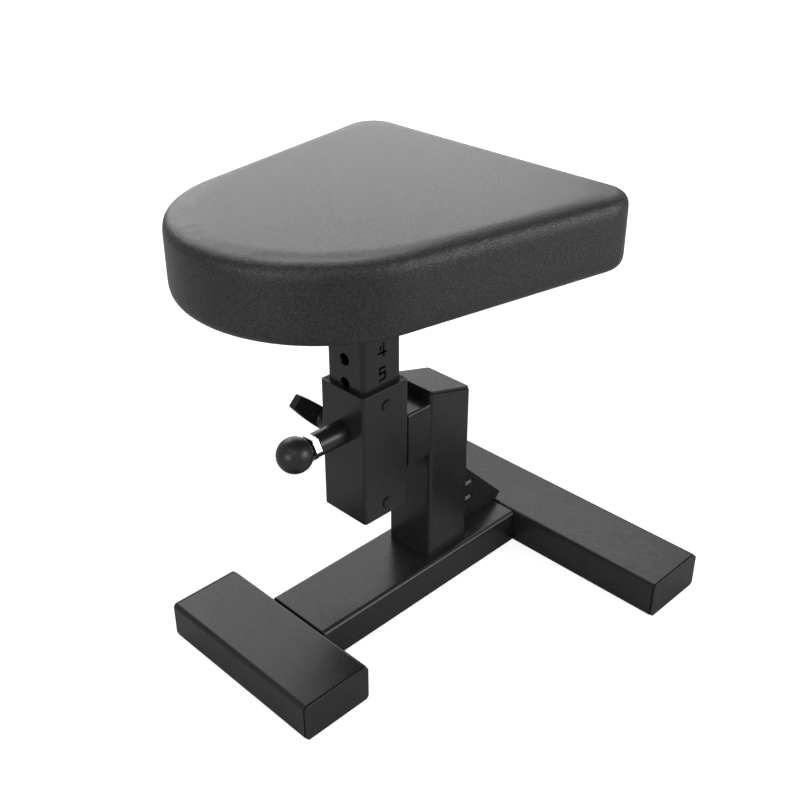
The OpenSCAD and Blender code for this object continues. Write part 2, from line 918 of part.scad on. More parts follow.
function half_outline(inset) = concat(
    [
        for (i = [0 : nose_steps])
            on_arc([0, nose_y], nose_r - inset, -90 + (90 - pad_flare) * i / nose_steps)
    ],
    [
        for (i = [1 : side_steps - 1])
            let (
                a = on_arc([0, nose_y], nose_r - inset, -pad_flare),
                b = on_arc([corner_x, corner_y], corner_r - inset, -pad_flare)
            )
            a + (b - a) * i / side_steps
    ],
    [
        for (i = [0 : corner_steps])
            on_arc([corner_x, corner_y], corner_r - inset, -pad_flare + (90 + pad_flare) * i / corner_steps)
    ],
    [
        for (i = [1 : back_steps / 2])
            [corner_x * (1 - 2 * i / back_steps), pad_back_l - inset]
    ]
);

function full_outline(inset) =
    let (
        half = half_outline(inset),
        last = len(half) - 1
    )
    concat(half, [for (i = [last - 1 : -1 : 1]) [-half[i][0], half[i][1]]]);

// The board's outline keeps true arcs: a nose, two rear corners and the straight edges between them
module board_2d(inset) {
    nose = nose_r - inset;
    corner = corner_r - inset;
    tangent = on_arc([0, nose_y], nose, -pad_flare);
    corner_tangent = on_arc([corner_x, corner_y], corner, -pad_flare);
    translate([0, nose_y])
        circle(nose, $fn = 128);
    for (side = [-1, 1])
        translate([side * corner_x, corner_y])
            circle(corner);
    polygon([
        tangent, corner_tangent, [corner_x, corner_y], [corner_x, pad_back_l - inset],
        [-corner_x, pad_back_l - inset], [-corner_x, corner_y],
        [-corner_tangent[0], corner_tangent[1]], [-tangent[0], tangent[1]]
    ]);
}

module seat_board() {
    color("#b58b56")
        translate([0, 0, board_z])
            difference() {
                linear_extrude(board_t)
                    board_2d(board_in);
                at_bolts() {
                    translate([0, 0, -over])
                        cylinder(h = board_t + 2 * over, d = tee_d + 2 * thread_clear);
                    translate([0, 0, board_t - tee_flange_t - thread_clear])
                        cylinder(h = tee_flange_t + over, d = tee_flange_d + 2 * thread_clear);
                }
            }
}

// Side of the pad from its bottom edge to its top edge, as pairs of draw-in and height
edge_t = pad_t - pad_crown;
function draw_at(z) = side_draw * pow(2 * z / edge_t - 1, 2);
function rounding(radius, angle) = radius * (1 - sin(angle));
pad_profile = concat(
    [[board_in - board_clear, board_up + board_t + board_clear], [board_in - board_clear, 0]],
    [
        for (a = [0 : 30 : 90])
            let (z = bottom_round * (1 - cos(a)))
            [rounding(bottom_round, a) + draw_at(z), z]
    ],
    [
        for (i = [1 : 3])
            let (z = bottom_round + (edge_t - bottom_round - top_round) * i / 4)
            [draw_at(z), z]
    ],
    [
        for (a = [90 : -15 : 0])
            let (z = edge_t - top_round * (1 - cos(a)))
            [rounding(top_round, a) + draw_at(z), z]
    ]
);

// The crown continues the top edge inward in rings that shrink toward a point behind the seat's middle
crown_scales = [0.88, 0.66, 0.4, 0.15];
crown_back = 20;
crown_centre = [0, (pad_back_l - pad_front_l) / 2 + crown_back];
function crown_ring(s) = [
    for (p = full_outline(top_round + side_draw))
        let (q = crown_centre + s * (p - crown_centre))
        [q[0], q[1], edge_t + pad_crown * (1 - s * s)]
];

pad_rings = concat(
    [for (p = pad_profile) [for (q = full_outline(p[0])) [q[0], q[1], p[1]]]],
    [for (s = crown_scales) crown_ring(s)]
);
pad_sides = len(pad_rings[0]);
pad_points = concat(
    [for (ring = pad_rings) for (p = ring) p],
    [
        [crown_centre[0], crown_centre[1], board_up + board_t + board_clear],
        [crown_centre[0], crown_centre[1], pad_t]
    ]
);
pad_low = len(pad_rings) * pad_sides;
pad_faces = concat(
    [
        for (i = [0 : len(pad_rings) - 2], k = [0 : pad_sides - 1])
            let (
                a = i * pad_sides + k,
                b = i * pad_sides + (k + 1) % pad_sides
            )
            each [[a, a + pad_sides, b + pad_sides], [a, b + pad_sides, b]]
    ],
    [for (k = [0 : pad_sides - 1]) [pad_low, k, (k + 1) % pad_sides]],
    [
        for (k = [0 : pad_sides - 1])
            [pad_low + 1, pad_low - pad_sides + (k + 1) % pad_sides, pad_low - pad_sides + k]
    ]
);

module seat_pad() {
    color("#4a4a4d")
        translate([0, 0, seat_z])
            polyhedron(pad_points, pad_faces, convexity = 4);
}

front_cross_tube();
rear_cross_tube();
main_tube();
front_cap_left();
front_cap_right();
rear_cap_left();
rear_cap_right();
upright_tube();
upright_cap();
spacer_tube();
gusset_plate();
sleeve_tube();
upper_guide();
lower_guide();
pin_boss();
plunger_body();
plunger_spring();
spring_collar();
plunger_pin();
ball_knob();
clamp_boss();
clamp_tip();
clamp_screw();
wing_knob();
seat_post();
post_plug();
seat_plate();
seat_board();
tee_nuts();
seat_bolts();
seat_washers();
seat_pad();
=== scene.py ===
"""Looks of the adjustable squat box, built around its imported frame."""

import math

import bmesh
import bpy
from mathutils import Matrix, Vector


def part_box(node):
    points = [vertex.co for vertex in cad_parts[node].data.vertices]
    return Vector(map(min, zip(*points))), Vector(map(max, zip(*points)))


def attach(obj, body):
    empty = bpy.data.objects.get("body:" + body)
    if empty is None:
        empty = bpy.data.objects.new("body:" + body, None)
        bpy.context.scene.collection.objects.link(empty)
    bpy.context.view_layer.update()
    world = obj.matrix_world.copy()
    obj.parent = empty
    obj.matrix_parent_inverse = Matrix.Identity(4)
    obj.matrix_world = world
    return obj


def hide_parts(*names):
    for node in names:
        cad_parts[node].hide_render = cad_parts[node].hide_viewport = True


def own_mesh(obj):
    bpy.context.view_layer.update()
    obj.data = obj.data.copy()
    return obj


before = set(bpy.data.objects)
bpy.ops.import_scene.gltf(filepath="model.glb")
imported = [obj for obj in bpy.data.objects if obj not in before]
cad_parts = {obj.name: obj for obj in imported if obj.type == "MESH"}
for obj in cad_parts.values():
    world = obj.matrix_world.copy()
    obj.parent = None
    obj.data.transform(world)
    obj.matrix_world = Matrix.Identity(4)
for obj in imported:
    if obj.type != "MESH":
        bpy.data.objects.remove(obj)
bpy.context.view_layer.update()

MM = 0.001

# Camera: where the photograph was taken from
CAMERA_PLACE = (0.6800, -0.6322, 0.7851)
CAMERA_AZIMUTH = 44.99
CAMERA_ELEVATION = 29.91
CAMERA_LENS = 49.88
SENSOR_WIDTH = 36

# Sizes of what is modelled here, in metres
EDGE = 0.4 * MM
CAP_EDGE = 0.35 * MM
TOP_CAP_EDGE = 0.7 * MM
MAIN_TUBE_EDGE = 1.2 * MM
SLEEVE_EDGE = 0.6 * MM
GUIDE_EDGE = 0.3 * MM
BODY_EDGE = 0.5 * MM
FIXING_EDGE = 0.35 * MM
WING_EDGE = 1.0 * MM
BALL_EDGE = 0.5 * MM
STAPLE_EDGE = 0.15 * MM
NOSE_RADIUS = 134.5 * MM
REAR_CORNER_RADIUS = 32 * MM
SIDE_FLARE = math.radians(10.4)
PAD_TOP_ROUND = 11 * MM
PAD_BOTTOM_ROUND = 11 * MM
PAD_SWELL = 0.4 * MM
PAD_CROWN = 0.8 * MM
PAD_VOXEL = 4.2 * MM
BOARD_MARGIN = 12 * MM
POCKET_GAP = 1 * MM
HEM_WIDTH = 24 * MM
HEM_THICKNESS = 0.7 * MM
HELD_HEIGHT = 1.5 * MM
SWELL_FRAMES = 20
STAPLE_STEP = 26 * MM
STAPLE = (10 * MM, 1.2 * MM, 0.5 * MM)
STAPLE_LINE = 0.6
STAPLE_START_Y = 20 * MM
WING_VOXEL = 0.8 * MM
BALL_FLAT_RADIUS = 8 * MM
BALL_FLAT_AREA = 100e-6
BALL_BORE_DEPTH = 20.3 * MM
ROD_RADIUS = 4 * MM
ROD_CLEARANCE = 0.05 * MM
THREAD_PITCH = 1.5 * MM
THREAD_DEPTH = 0.8 * MM

# Studio: how strong the surroundings are as light, as seen and as mirrored
WORLD_LIGHT = 0.3
WORLD_MIRRORED = 0.13
FLOOR_GREY = 0.55
FLOOR_GLOW = 0.84
FLOOR_MIRRORED = 0.03
FLOOR_SIZE = 12
FLOOR_DROP = 0.2 * MM

# Lamp panels: name, azimuth, elevation, width, height in metres, radiance
LAMP_DISTANCE = 2.4
LAMP_AIM = (0, 0.05, 0.25)
LAMPS = (
    ("low_back_softbox", 233, 12, 2.0, 0.5, 3.0),
    ("back_softbox", 232, 36, 2.6, 0.8, 1.8),
    ("upper_back_softbox", 225, 54, 2.4, 0.5, 1.5),
    ("far_left_softbox", 262, 28, 1.2, 1.2, 0.8),
    ("front_softbox", 30, 60, 2.0, 0.8, 1.1),
    ("camera_softbox", 45, 36, 1.6, 0.7, 0.7),
    ("left_softbox", 8, 14, 1.2, 0.8, 4.0),
    ("right_softbox", 117, 15, 1.4, 1.0, 4.8),
)


def deselect():
    bpy.ops.object.select_all(action="DESELECT")


def pick(piece):
    deselect()
    piece.select_set(True)
    bpy.context.view_layer.objects.active = piece


def named(name):
    """Names the object that an operator has just added, and returns it."""
    piece = bpy.context.object
    piece.name = name
    piece.data.name = name
    return piece


def settle(piece):
    """Puts the object's place, turn and size into its mesh."""
    pick(piece)
    bpy.ops.object.transform_apply(location=True, rotation=True, scale=True)
    return piece


def join(pieces):
    deselect()
    for piece in pieces:
        piece.select_set(True)
    bpy.context.view_layer.objects.active = pieces[0]
    bpy.ops.object.join()
    return pieces[0]


def add_block(name, low, high):
    centre = [(a + b) / 2 for a, b in zip(low, high)]
    size = [b - a for a, b in zip(low, high)]
    deselect()
    bpy.ops.mesh.primitive_cube_add(size=1, location=centre)
    bpy.context.object.scale = size
    return settle(named(name))


def add_rod(name, start, end, radius, sides=48):
    """A round bar between two points."""
    run = Vector(end) - Vector(start)
    middle = (Vector(start) + Vector(end)) / 2
    turn = run.to_track_quat("Z", "Y").to_euler()
    deselect()
    bpy.ops.mesh.primitive_cylinder_add(
        vertices=sides, radius=radius, depth=run.length, location=middle, rotation=turn
    )
    return settle(named(name))


def edit_parts(piece, kind, wanted, work):
    """Selects the edges or faces that pass a test in edit mode and runs an operator on them."""
    pick(piece)
    bpy.ops.object.mode_set(mode="EDIT")
    bpy.ops.mesh.select_mode(type=kind)
    bpy.ops.mesh.select_all(action="DESELECT")
    shape = bmesh.from_edit_mesh(piece.data)
    for part in shape.edges if kind == "EDGE" else shape.faces:
        part.select_set(wanted(part))
    bmesh.update_edit_mesh(piece.data)
    work()
    bpy.ops.object.mode_set(mode="OBJECT")
    return piece


def apply_modifiers(piece):
    pick(piece)
    for modifier in list(piece.modifiers):
        bpy.ops.object.modifier_apply(modifier=modifier.name)
    return piece


def cut(piece, cutter):
    """Takes a cutter's shape out of a piece and removes the cutter."""
    modifier = piece.modifiers.new("cut", "BOOLEAN")
    modifier.operation = "DIFFERENCE"
    modifier.solver = "EXACT"
    modifier.object = cutter
    apply_modifiers(piece)
    bpy.data.objects.remove(cutter)
    return piece


def ease_edges(piece, width=EDGE, segments=2, angle=30):
    """Rounds every sharp edge a little and shades the result smooth."""
    bevel = piece.modifiers.new("ease", "BEVEL")
    bevel.width = width
    bevel.segments = segments
    bevel.limit_method = "ANGLE"
    bevel.angle_limit = math.radians(angle)
    bevel.use_clamp_overlap = False
    bevel.miter_outer = "MITER_ARC"
    apply_modifiers(piece)
    return smooth(piece)


def smooth(piece, angle=40):
    pick(piece)
    bpy.ops.object.shade_smooth_by_angle(angle=math.radians(angle))
    weigh = piece.modifiers.new("weigh", "WEIGHTED_NORMAL")
    weigh.keep_sharp = True
    return apply_modifiers(piece)


def merged_copy(node, name):
    """A copy of a frame node with its points merged and its flat faces whole."""
    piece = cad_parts[node].copy()
    piece.data = piece.data.copy()
    piece.name = name
    piece.data.name = name
    bpy.context.collection.objects.link(piece)
    pick(piece)
    bpy.ops.object.mode_set(mode="EDIT")
    bpy.ops.mesh.select_all(action="SELECT")
    bpy.ops.mesh.customdata_custom_splitnormals_clear()
    bpy.ops.mesh.remove_doubles(threshold=0.002 * MM)
    bpy.ops.mesh.dissolve_limited(angle_limit=math.radians(0.3))
    bpy.ops.object.mode_set(mode="OBJECT")
    return piece


def eased_copy(node, name, width=EDGE, segments=2):
    """A copy of a frame node with its sharp edges rounded."""
    return ease_edges(merged_copy(node, name), width, segments)


def finish_piece(piece, body, slot, material, *nodes):
    """Gives a piece its material and its body, and hides the nodes that it stands for; the slot is not
    used.
    """
    piece.data.materials.clear()
    piece.data.materials.append(material)
    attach(piece, body)
    if nodes:
        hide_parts(*nodes)
    return piece


class Shader:
    """A material whose Principled shader is fed by patterns on Object coordinates."""

    def __init__(self, name):
        self.material = bpy.data.materials.new(name)
        self.material.use_nodes = True
        self.tree = self.material.node_tree
        self.shader = self.tree.nodes["Principled BSDF"]
        self.place = self.node("ShaderNodeTexCoord").outputs["Object"]

    def node(self, kind, **settings):
        made = self.tree.nodes.new(kind)
        for key, value in settings.items():
            setattr(made, key, value)
        return made

    def link(self, source, target):
        self.tree.links.new(source, target)

    def set(self, **values):
        for name, value in values.items():
            self.shader.inputs[name.replace("_", " ")].default_value = value

    def noise(self, scale, detail=3, roughness=0.55, stretch=None):
        texture = self.node("ShaderNodeTexNoise")
        texture.inputs["Scale"].default_value = scale
        texture.inputs["Detail"].default_value = detail
        texture.inputs["Roughness"].default_value = roughness
        place = self.place
        if stretch:
            mapping = self.node("ShaderNodeMapping")
            mapping.inputs["Scale"].default_value = stretch
            self.link(self.place, mapping.inputs["Vector"])
            place = mapping.outputs["Vector"]
        self.link(place, texture.inputs["Vector"])
        return texture.outputs["Fac"]

    def cells(self, scale):
        texture = self.node("ShaderNodeTexVoronoi", feature="DISTANCE_TO_EDGE")
        texture.inputs["Scale"].default_value = scale
        self.link(self.place, texture.inputs["Vector"])
        return texture.outputs["Distance"]

    def between(self, value, low, high, source=(0.3, 0.7)):
        """Maps a pattern's value from a source range to a range between two numbers."""
        step = self.node("ShaderNodeMapRange")
        step.inputs["From Min"].default_value = source[0]
        step.inputs["From Max"].default_value = source[1]
        step.inputs["To Min"].default_value = low
        step.inputs["To Max"].default_value = high
        self.link(value, step.inputs["Value"])
        return step.outputs["Result"]

    def times(self, first, second):
        product = self.node("ShaderNodeMath", operation="MULTIPLY")
        self.link(first, product.inputs[0])
        if isinstance(second, (int, float)):
            product.inputs[1].default_value = second
        else:
            self.link(second, product.inputs[1])
        return product.outputs["Value"]

    def colours(self, value, *stops):
        """Turns a value into a colour through a ramp of (place, colour) stops."""
        ramp = self.node("ShaderNodeValToRGB")
        elements = ramp.color_ramp.elements
        elements[0].position, elements[0].color = stops[0][0], (*stops[0][1], 1)
        elements[1].position, elements[1].color = stops[-1][0], (*stops[-1][1], 1)
        for place, colour in stops[1:-1]:
            elements.new(place).color = (*colour, 1)
        self.link(value, ramp.inputs["Fac"])
        self.link(ramp.outputs["Color"], self.shader.inputs["Base Color"])

    def roughness(self, value):
        self.link(value, self.shader.inputs["Roughness"])

    def bumps(self, *layers):
        """Stacks bump layers, each a height pattern with its strength and its depth in metres."""
        normal = None
        for height, strength, depth in layers:
            bump = self.node("ShaderNodeBump")
            bump.inputs["Strength"].default_value = strength
            bump.inputs["Distance"].default_value = depth
            self.link(height, bump.inputs["Height"])
            if normal:
                self.link(normal, bump.inputs["Normal"])
            normal = bump.outputs["Normal"]
        self.link(normal, self.shader.inputs["Normal"])


def grey(value, tint=0.0):
    return (value, value, value * (1 + tint))


def powder_coat():
    """Satin black powder coat: a fine orange peel and faint cloudiness."""
    coat = Shader("black_powder_coat")
    coat.set(Specular_IOR_Level=0.4)
    cloud = coat.noise(22, 2)
    coat.colours(cloud, (0.3, grey(0.015, 0.03)), (0.7, grey(0.020, 0.03)))
    coat.roughness(coat.between(coat.noise(130, 4), 0.23, 0.31))
    coat.bumps((coat.noise(620, 2), 0.25, 0.06 * MM), (coat.noise(2600, 2), 0.12, 0.03 * MM))
    return coat.material


def cap_plastic():
    """Black moulded cap with a fine spark-eroded texture."""
    cap = Shader("black_cap_plastic")
    cap.set(Specular_IOR_Level=0.4)
    cap.colours(cap.noise(60, 3), (0.3, grey(0.018)), (0.7, grey(0.024)))
    cap.roughness(cap.between(cap.noise(300, 3), 0.42, 0.52))
    cap.bumps((cap.noise(1900, 3), 0.3, 0.05 * MM))
    return cap.material


def knob_plastic():
    """Satin phenolic plastic of the ball and the winged knob."""
    knob = Shader("black_knob_plastic")
    knob.set(Specular_IOR_Level=0.45)
    knob.colours(knob.noise(90, 3), (0.3, grey(0.017)), (0.7, grey(0.023)))
    knob.roughness(knob.between(knob.noise(260, 4), 0.3, 0.38))
    knob.bumps((knob.noise(900, 2), 0.12, 0.04 * MM))
    return knob.material


def guide_plastic():
    """Black nylon of the sleeve's guides."""
    guide = Shader("black_guide_nylon")
    guide.set(Specular_IOR_Level=0.35)
    guide.colours(guide.noise(120, 3), (0.3, grey(0.014)), (0.7, grey(0.02)))
    guide.roughness(guide.between(guide.noise(400, 3), 0.5, 0.6))
    guide.bumps((guide.noise(1500, 2), 0.2, 0.04 * MM))
    return guide.material


def tip_plastic():
    """Natural nylon of the clamp screw's tip."""
    tip = Shader("natural_nylon")
    tip.colours(tip.noise(200, 3), (0.3, (0.70, 0.67, 0.58)), (0.7, (0.78, 0.75, 0.67)))
    tip.roughness(tip.between(tip.noise(500, 3), 0.42, 0.52))
    tip.bumps((tip.noise(1800, 2), 0.15, 0.03 * MM))
    return tip.material


def zinc_plate():
    """Bright zinc plating with faint turning marks and cloudiness."""
    zinc = Shader("bright_zinc")
    zinc.set(Metallic=1.0)
    zinc.colours(zinc.noise(140, 3), (0.3, (0.74, 0.75, 0.77)), (0.7, (0.86, 0.87, 0.88)))
    marks = zinc.noise(900, 2, stretch=(1, 14, 1))
    zinc.roughness(zinc.between(zinc.noise(350, 4), 0.16, 0.28))
    zinc.bumps((marks, 0.15, 0.02 * MM))
    return zinc.material


def spring_steel():
    """Drawn steel wire, darker than the plating."""
    wire = Shader("spring_wire")
    wire.set(Metallic=1.0)
    wire.colours(wire.noise(300, 3), (0.3, (0.40, 0.40, 0.42)), (0.7, (0.55, 0.55, 0.56)))
    wire.roughness(wire.between(wire.noise(600, 3), 0.26, 0.4))
    wire.bumps((wire.noise(2500, 2), 0.15, 0.02 * MM))
    return wire.material


def plywood():
    """Birch plywood: long grain on the face and thin plies at the edge."""
    wood = Shader("birch_plywood")
    grain = wood.noise(9, 5, 0.6, stretch=(1.0, 16, 90))
    fibre = wood.noise(60, 3, 0.6, stretch=(1.0, 20, 20))
    wood.colours(
        wood.times(grain, wood.between(fibre, 0.8, 1.15)),
        (0.25, (0.36, 0.22, 0.11)), (0.5, (0.53, 0.37, 0.21)), (0.75, (0.64, 0.48, 0.29))
    )
    wood.roughness(wood.between(fibre, 0.55, 0.7))
    wood.bumps((fibre, 0.3, 0.1 * MM))
    return wood.material


def pad_vinyl():
    """Black grained vinyl: mottled pebbles two millimetres across with finer pores between them, and
    painted shade darkening the valleys between the pebbles.
    """
    vinyl = Shader("black_pad_vinyl")
    vinyl.set(Specular_IOR_Level=0.5)
    pebbles = vinyl.cells(560)
    mottle = vinyl.noise(620, 2, 0.5)
    # Painted shade: the colour darkens towards the pebbles' edges, in the valleys between them
    vinyl.colours(
        vinyl.times(mottle, vinyl.between(pebbles, 0.86, 1.0, (0.0, 0.25))),
        (0.33, grey(0.008, 0.02)), (0.62, grey(0.033, 0.02))
    )
    vinyl.roughness(vinyl.between(vinyl.noise(700, 4), 0.3, 0.42))
    vinyl.bumps(
        (vinyl.between(pebbles, 0, 1, (0.0, 0.3)), 0.45, 0.3 * MM),
        (vinyl.noise(950, 3), 0.6, 0.25 * MM)
    )
    return vinyl.material


coat = powder_coat()
caps = cap_plastic()
knobs = knob_plastic()
guides = guide_plastic()
nylon = tip_plastic()
zinc = zinc_plate()
wire = spring_steel()
wood = plywood()
vinyl = pad_vinyl()


def dress_frame_nodes():
    """Gives the nodes that stay as they are their materials."""
    finishes = {
        coat: ["spacer_tube", "seat_post"],
        caps: ["post_plug"],
        nylon: ["clamp_tip"],
        zinc: ["plunger_pin", "tee_nuts"],
        wire: ["spring_collar"],
        wood: ["seat_board"],
    }
    for material, nodes in finishes.items():
        for node in nodes:
            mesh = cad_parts[node].data
            mesh.materials.clear()
            mesh.materials.append(material)


def steelwork():
    """The painted steel pieces whose edges show, with those edges rounded."""
    plain = (
        "front_cross_tube", "rear_cross_tube", "upright_tube", "gusset_plate", "pin_boss", "clamp_boss"
    )
    for node in plain:
        finish_piece(eased_copy(node, "painted_" + node), "base", "frame_paint", coat, node)
    main = eased_copy("main_tube", "painted_main_tube", MAIN_TUBE_EDGE, 3)
    finish_piece(main, "base", "frame_paint", coat, "main_tube")
    sleeve = eased_copy("sleeve_tube", "painted_sleeve", SLEEVE_EDGE, 3)
    finish_piece(sleeve, "base", "frame_paint", coat, "sleeve_tube")
    plate = eased_copy("seat_plate", "painted_seat_plate")
    finish_piece(plate, "seat", "frame_paint", coat, "seat_plate")


def end_caps():
    """The plastic caps: a flange a little smaller than its tube, with rounded edges."""
    for node in ("front_cap_left", "front_cap_right", "rear_cap_left", "rear_cap_right"):
        cap = eased_copy(node, "moulded_" + node, CAP_EDGE)
        finish_piece(cap, "base", "cap_plastic", caps, node)
    top = eased_copy("upright_cap", "moulded_upright_cap", TOP_CAP_EDGE, 3)
    finish_piece(top, "base", "cap_plastic", caps, "upright_cap")


def sleeve_guides():
    """The nylon guides inside the sleeve, with the pegs whose ends show on its side."""
    for node in ("upper_guide", "lower_guide"):
        guide = eased_copy(node, "moulded_" + node, GUIDE_EDGE)
        finish_piece(guide, "base", "guide_plastic", guides, node)


def ball_knob():
    """A turned ball with a flat, a bore for the rod and an eased rim."""
    low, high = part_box("ball_knob")
    radius = (high.x - low.x) / 2
    centre = Vector(((low.x + high.x) / 2, low.y + radius, (low.z + high.z) / 2))
    deselect()
    bpy.ops.mesh.primitive_uv_sphere_add(
        segments=72, ring_count=48, radius=radius, location=centre, rotation=(math.pi / 2, 0, 0)
    )
    ball = settle(named("phenolic_ball"))
    pick(ball)
    bpy.ops.object.mode_set(mode="EDIT")
    bpy.ops.mesh.select_all(action="SELECT")
    bpy.ops.mesh.bisect(
        plane_co=(0, high.y, 0), plane_no=(0, 1, 0), clear_outer=True, use_fill=True
    )
    bpy.ops.object.mode_set(mode="OBJECT")

    def sink_bore():
        bpy.ops.mesh.inset(thickness=BALL_FLAT_RADIUS - ROD_RADIUS - ROD_CLEARANCE)
        bpy.ops.mesh.extrude_region_move(
            TRANSFORM_OT_translate={"value": (0, -BALL_BORE_DEPTH, 0)}
        )

    def is_flat(face):
        return face.normal.y > 0.99 and face.calc_area() > BALL_FLAT_AREA

    edit_parts(ball, "FACE", is_flat, sink_bore)
    ease_edges(ball, BALL_EDGE, 3, 25)
    finish_piece(ball, "pull_pin", "knob_plastic", knobs, "ball_knob")


def plunger_body():
    """The plunger's plated body with its hexagon."""
    body = eased_copy("plunger_body", "plated_plunger_body", BODY_EDGE)
    finish_piece(body, "base", "zinc", zinc, "plunger_body")


def plunger_spring():
    """The plunger's spring, shaded smooth with a mesh of its own; on the real pin its collar shortens it
    towards the hexagon as the ball is pulled.
    """
    spring = smooth(merged_copy("plunger_spring", "wound_plunger_spring"), 60)
    finish_piece(spring, "base", "spring_steel", wire, "plunger_spring")
    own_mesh(spring)


def winged_knob():
    """The winged knob: its hub and wings melted into one soft moulding."""
    knob = eased_copy("wing_knob", "moulded_wing_knob", WING_EDGE, 3)
    knob.data.remesh_voxel_size = WING_VOXEL
    pick(knob)
    bpy.ops.object.voxel_remesh()
    melt = knob.modifiers.new("melt", "SMOOTH")
    melt.factor = 0.5
    melt.iterations = 8
    apply_modifiers(knob)
    bpy.ops.object.shade_smooth()
    finish_piece(knob, "clamp_knob", "knob_plastic", knobs, "wing_knob")


def clamp_screw():
    """The clamp screw with its thread: one tooth swept round the axis, then cut off at both ends."""
    low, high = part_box("clamp_screw")
    radius = (high.z - low.z) / 2
    height = (low.z + high.z) / 2
    turns = math.ceil((high.x - low.x) / THREAD_PITCH) + 2
    deselect()
    bpy.ops.mesh.primitive_plane_add(size=1)
    screw = named("threaded_clamp_screw")
    pick(screw)
    bpy.ops.object.mode_set(mode="EDIT")
    bpy.ops.mesh.select_all(action="SELECT")
    bpy.ops.mesh.delete(type="ONLY_FACE")
    shape = bmesh.from_edit_mesh(screw.data)
    shape.verts.ensure_lookup_table()
    teeth = [
        (radius - THREAD_DEPTH, 0),
        (radius, THREAD_PITCH * 0.4),
        (radius, THREAD_PITCH * 0.6),
        (radius - THREAD_DEPTH, THREAD_PITCH),
    ]
    bmesh.ops.delete(shape, geom=shape.verts[:], context="VERTS")
    points = [shape.verts.new((0, out, along)) for out, along in teeth]
    for first, second in zip(points, points[1:]):
        shape.edges.new((first, second))
    bmesh.update_edit_mesh(screw.data)
    bpy.ops.object.mode_set(mode="OBJECT")
    sweep = screw.modifiers.new("sweep", "SCREW")
    sweep.axis = "Z"
    sweep.screw_offset = THREAD_PITCH
    sweep.iterations = turns
    sweep.steps = 36
    sweep.render_steps = 36
    sweep.use_merge_vertices = True
    apply_modifiers(screw)
    screw.rotation_euler = (0, math.pi / 2, 0)
    screw.location = (low.x - THREAD_PITCH, 0, height)
    settle(screw)
    pick(screw)
    bpy.ops.object.mode_set(mode="EDIT")
    bpy.ops.mesh.select_all(action="SELECT")
    bpy.ops.mesh.remove_doubles(threshold=0.01 * MM)
    bpy.ops.mesh.bisect(plane_co=(low.x, 0, 0), plane_no=(-1, 0, 0), clear_outer=True, use_fill=True)
    bpy.ops.mesh.select_all(action="SELECT")
    bpy.ops.mesh.bisect(plane_co=(high.x, 0, 0), plane_no=(1, 0, 0), clear_outer=True, use_fill=True)
    bpy.ops.mesh.select_all(action="SELECT")
    bpy.ops.mesh.normals_make_consistent(inside=False)
    bpy.ops.object.mode_set(mode="OBJECT")
    smooth(screw, 35)
    finish_piece(screw, "clamp_knob", "zinc", zinc, "clamp_screw")


def seat_fixings():
    """The bolts and washers that hold the plate to the board."""
    for node in ("seat_bolts", "seat_washers"):
        fixing = eased_copy(node, "plated_" + node, FIXING_EDGE)
        finish_piece(fixing, "seat", "zinc", zinc, node)


def pad_block(name, inset, low_z, high_z):
    """The seat's outline as a closed block: a round nose and two rear corners in one tight hull."""
    low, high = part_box("seat_pad")
    nose_y = low.y + NOSE_RADIUS
    corner_y = high.y - REAR_CORNER_RADIUS
    run = corner_y - nose_y
    corner_x = (NOSE_RADIUS - REAR_CORNER_RADIUS + run * math.sin(SIDE_FLARE)) / math.cos(SIDE_FLARE)
    rounds = [
        (0, nose_y, NOSE_RADIUS, 144),
        (corner_x, corner_y, REAR_CORNER_RADIUS, 72),
        (-corner_x, corner_y, REAR_CORNER_RADIUS, 72),
    ]
    posts = [
        add_rod(name, (x, y, low_z), (x, y, high_z), radius - inset, sides)
        for x, y, radius, sides in rounds
    ]
    block = join(posts)
    block.name = name
    pick(block)
    bpy.ops.object.mode_set(mode="EDIT")
    bpy.ops.mesh.select_all(action="SELECT")
    bpy.ops.mesh.convex_hull()
    bpy.ops.mesh.select_all(action="SELECT")
    bpy.ops.mesh.dissolve_limited(angle_limit=math.radians(0.5))
    bpy.ops.object.mode_set(mode="OBJECT")
    return block


def round_rim(block, height, radius, segments):
    """Rounds all edges that lie at one height."""
    def at_height(edge):
        return all(abs(v.co.z - height) < 0.1 * MM for v in edge.verts)

    def bevel():
        bpy.ops.mesh.bevel(offset=radius, segments=segments, affect="EDGES")

    return edit_parts(block, "EDGE", at_height, bevel)


def swell(pad):
    """Puffs the pad up with a short cloth simulation and holds it to the foam's size."""
    foot = min(vertex.co.z for vertex in pad.data.vertices)
    held = pad.vertex_groups.new(name="held")
    held.add([v.index for v in pad.data.vertices if v.co.z < foot + HELD_HEIGHT], 1.0, "REPLACE")
    start = [v.co.copy() for v in pad.data.vertices]
    cloth = pad.modifiers.new("puff", "CLOTH")
    cloth.settings.quality = 6
    cloth.settings.mass = 0.3
    cloth.settings.tension_stiffness = 15
    cloth.settings.compression_stiffness = 15
    cloth.settings.bending_stiffness = 0.5
    cloth.settings.use_pressure = True
    cloth.settings.uniform_pressure_force = 0.3
    cloth.settings.vertex_group_mass = "held"
    cloth.settings.effector_weights.gravity = 0
    scene = bpy.context.scene
    for number in range(1, SWELL_FRAMES + 1):
        scene.frame_set(number)
    graph = bpy.context.evaluated_depsgraph_get()
    puffed = [v.co.copy() for v in pad.evaluated_get(graph).data.vertices]
    pad.modifiers.remove(cloth)
    scene.frame_set(1)
    for vertex, first, last in zip(pad.data.vertices, start, puffed):
        shift = last - first
        most = PAD_SWELL + PAD_CROWN * max(shift.normalized().z, 0)
        if shift.length > most:
            shift *= most / shift.length
        vertex.co = first + shift


